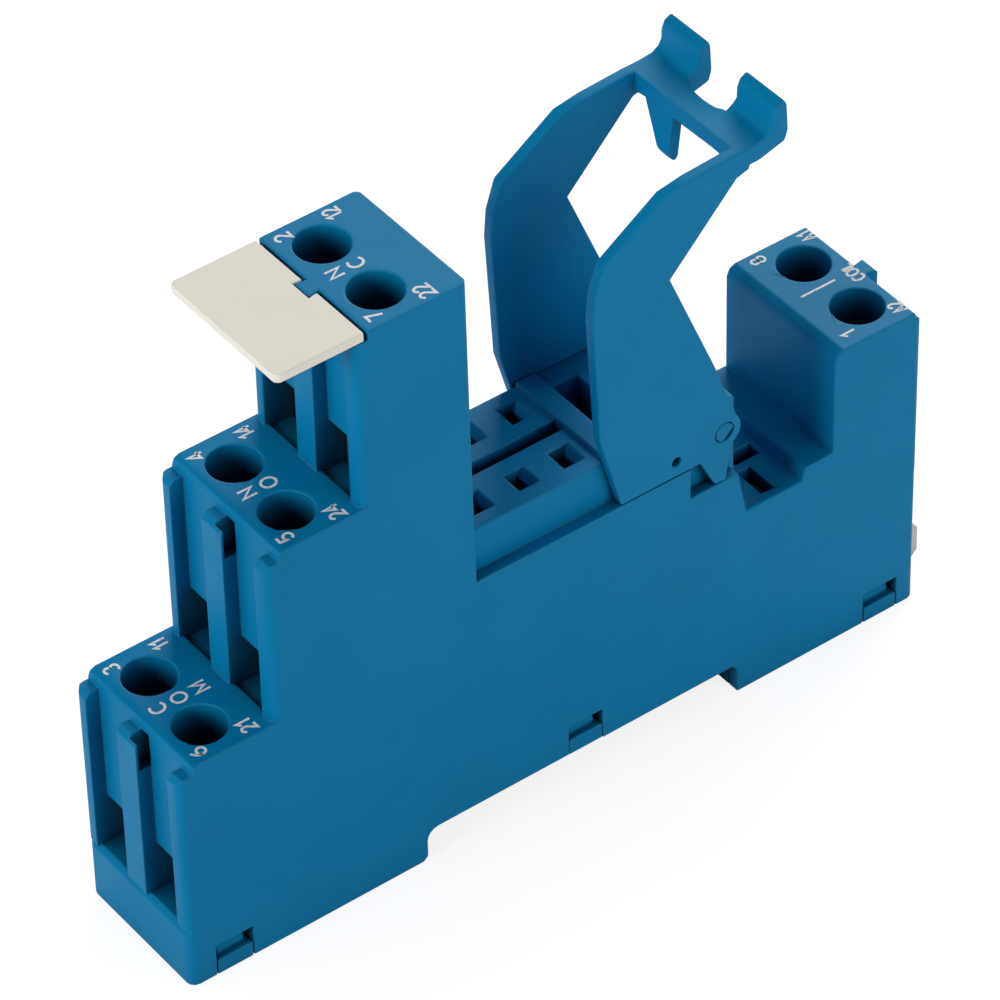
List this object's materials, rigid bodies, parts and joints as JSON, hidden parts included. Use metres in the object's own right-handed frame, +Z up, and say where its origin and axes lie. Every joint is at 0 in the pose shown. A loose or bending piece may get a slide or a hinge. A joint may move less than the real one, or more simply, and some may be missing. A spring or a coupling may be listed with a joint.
{
  "type": "relay socket",
  "caption": "DIN-rail relay socket with stepped screw terminals, plug-in relay seat, module bay, pivoting retaining clip and marker tag.",
  "frame": {"origin": "centre of the pad in the rail recess, the face that lies on the DIN rail", "axes": "+X from the stepped terminal end to the coil end, +Y across the width away from the marked side, +Z up"},
  "size_m": [0.0869, 0.0158, 0.0677],
  "materials": {
    "housing_blue": "satin moulded polyamide",
    "cover_blue": "satin moulded polyamide",
    "clip_blue": "satin moulded polyamide",
    "tag_ivory": "matt moulded plastic",
    "foot_white": "matt moulded plastic",
    "contact_brass": "stamped spring brass",
    "screw_steel": "zinc-plated steel",
    "cage_steel": "zinc-plated steel"
  },
  "bodies": {
    "housing": {"housing": "housing_blue", "base_cover": "cover_blue", "contact_com_near": "contact_brass", "contact_com_far": "contact_brass", "contact_no_near": "contact_brass", "contact_no_far": "contact_brass", "contact_nc_near": "contact_brass", "contact_nc_far": "contact_brass", "contact_coil_near": "contact_brass", "contact_coil_far": "contact_brass"},
    "rail_foot": {"rail_foot": "foot_white"},
    "retaining_clip": {"retaining_clip": "clip_blue"},
    "marker_tag": {"marker_tag": "tag_ivory"},
    "screw_com_near": {"screw_com_near": "screw_steel"},
    "screw_com_far": {"screw_com_far": "screw_steel"},
    "screw_no_near": {"screw_no_near": "screw_steel"},
    "screw_no_far": {"screw_no_far": "screw_steel"},
    "screw_nc_near": {"screw_nc_near": "screw_steel"},
    "screw_nc_far": {"screw_nc_far": "screw_steel"},
    "screw_coil_near": {"screw_coil_near": "screw_steel"},
    "screw_coil_far": {"screw_coil_far": "screw_steel"},
    "cage_com_near": {"cage_com_near": "cage_steel"},
    "cage_com_far": {"cage_com_far": "cage_steel"},
    "cage_no_near": {"cage_no_near": "cage_steel"},
    "cage_no_far": {"cage_no_far": "cage_steel"},
    "cage_nc_near": {"cage_nc_near": "cage_steel"},
    "cage_nc_far": {"cage_nc_far": "cage_steel"},
    "cage_coil_near": {"cage_coil_near": "cage_steel"},
    "cage_coil_far": {"cage_coil_far": "cage_steel"}
  },
  "joints": [
    {"name": "clip_pivot", "type": "hinge", "parent": "housing", "child": "retaining_clip", "pos_m": [0.01615, 0, 0.0298], "axis": [0, 1, 0], "range_deg": [0, 28]},
    {"name": "foot_slide", "type": "slide", "parent": "housing", "child": "rail_foot", "axis": [1, 0, 0], "range_m": [0, 0.002], "stiffness_N_per_m": 1500},
    {"name": "tag_slide", "type": "slide", "parent": "housing", "child": "marker_tag", "axis": [0, 0, 1], "range_m": [0, 0.004]},
    {"name": "screw_com_near_turn", "type": "hinge", "parent": "housing", "child": "screw_com_near", "pos_m": [-0.0388, -0.00385, 0.01525], "axis": [0, 0, -1], "range_deg": [0, 1622]},
    {"name": "screw_com_far_turn", "type": "hinge", "parent": "housing", "child": "screw_com_far", "pos_m": [-0.0388, 0.00385, 0.01525], "axis": [0, 0, -1], "range_deg": [0, 1622]},
    {"name": "screw_no_near_turn", "type": "hinge", "parent": "housing", "child": "screw_no_near", "pos_m": [-0.0286, -0.00385, 0.0345], "axis": [0, 0, -1], "range_deg": [0, 1622]},
    {"name": "screw_no_far_turn", "type": "hinge", "parent": "housing", "child": "screw_no_far", "pos_m": [-0.0286, 0.00385, 0.0345], "axis": [0, 0, -1], "range_deg": [0, 1622]},
    {"name": "screw_nc_near_turn", "type": "hinge", "parent": "housing", "child": "screw_nc_near", "pos_m": [-0.0184, -0.00385, 0.05375], "axis": [0, 0, -1], "range_deg": [0, 1622]},
    {"name": "screw_nc_far_turn", "type": "hinge", "parent": "housing", "child": "screw_nc_far", "pos_m": [-0.0184, 0.00385, 0.05375], "axis": [0, 0, -1], "range_deg": [0, 1622]},
    {"name": "screw_coil_near_turn", "type": "hinge", "parent": "housing", "child": "screw_coil_near", "pos_m": [0.0347, -0.00385, 0.02425], "axis": [0, 0, -1], "range_deg": [0, 1622]},
    {"name": "screw_coil_far_turn", "type": "hinge", "parent": "housing", "child": "screw_coil_far", "pos_m": [0.0347, 0.00385, 0.02425], "axis": [0, 0, -1], "range_deg": [0, 1622]},
    {"name": "cage_com_near_lift", "type": "slide", "parent": "housing", "child": "cage_com_near", "axis": [0, 0, 1], "range_m": [0, 0.00225]},
    {"name": "cage_com_far_lift", "type": "slide", "parent": "housing", "child": "cage_com_far", "axis": [0, 0, 1], "range_m": [0, 0.00225]},
    {"name": "cage_no_near_lift", "type": "slide", "parent": "housing", "child": "cage_no_near", "axis": [0, 0, 1], "range_m": [0, 0.00225]},
    {"name": "cage_no_far_lift", "type": "slide", "parent": "housing", "child": "cage_no_far", "axis": [0, 0, 1], "range_m": [0, 0.00225]},
    {"name": "cage_nc_near_lift", "type": "slide", "parent": "housing", "child": "cage_nc_near", "axis": [0, 0, 1], "range_m": [0, 0.00225]},
    {"name": "cage_nc_far_lift", "type": "slide", "parent": "housing", "child": "cage_nc_far", "axis": [0, 0, 1], "range_m": [0, 0.00225]},
    {"name": "cage_coil_near_lift", "type": "slide", "parent": "housing", "child": "cage_coil_near", "axis": [0, 0, 1], "range_m": [0, 0.00225]},
    {"name": "cage_coil_far_lift", "type": "slide", "parent": "housing", "child": "cage_coil_far", "axis": [0, 0, 1], "range_m": [0, 0.00225]}
  ],
  "couplings": [
    {"joint": "screw_com_near_turn", "follows": "cage_com_near_lift", "rad_per_m": 12566},
    {"joint": "screw_com_far_turn", "follows": "cage_com_far_lift", "rad_per_m": 12566},
    {"joint": "screw_no_near_turn", "follows": "cage_no_near_lift", "rad_per_m": 12566},
    {"joint": "screw_no_far_turn", "follows": "cage_no_far_lift", "rad_per_m": 12566},
    {"joint": "screw_nc_near_turn", "follows": "cage_nc_near_lift", "rad_per_m": 12566},
    {"joint": "screw_nc_far_turn", "follows": "cage_nc_far_lift", "rad_per_m": 12566},
    {"joint": "screw_coil_near_turn", "follows": "cage_coil_near_lift", "rad_per_m": 12566},
    {"joint": "screw_coil_far_turn", "follows": "cage_coil_far_lift", "rad_per_m": 12566}
  ]
}
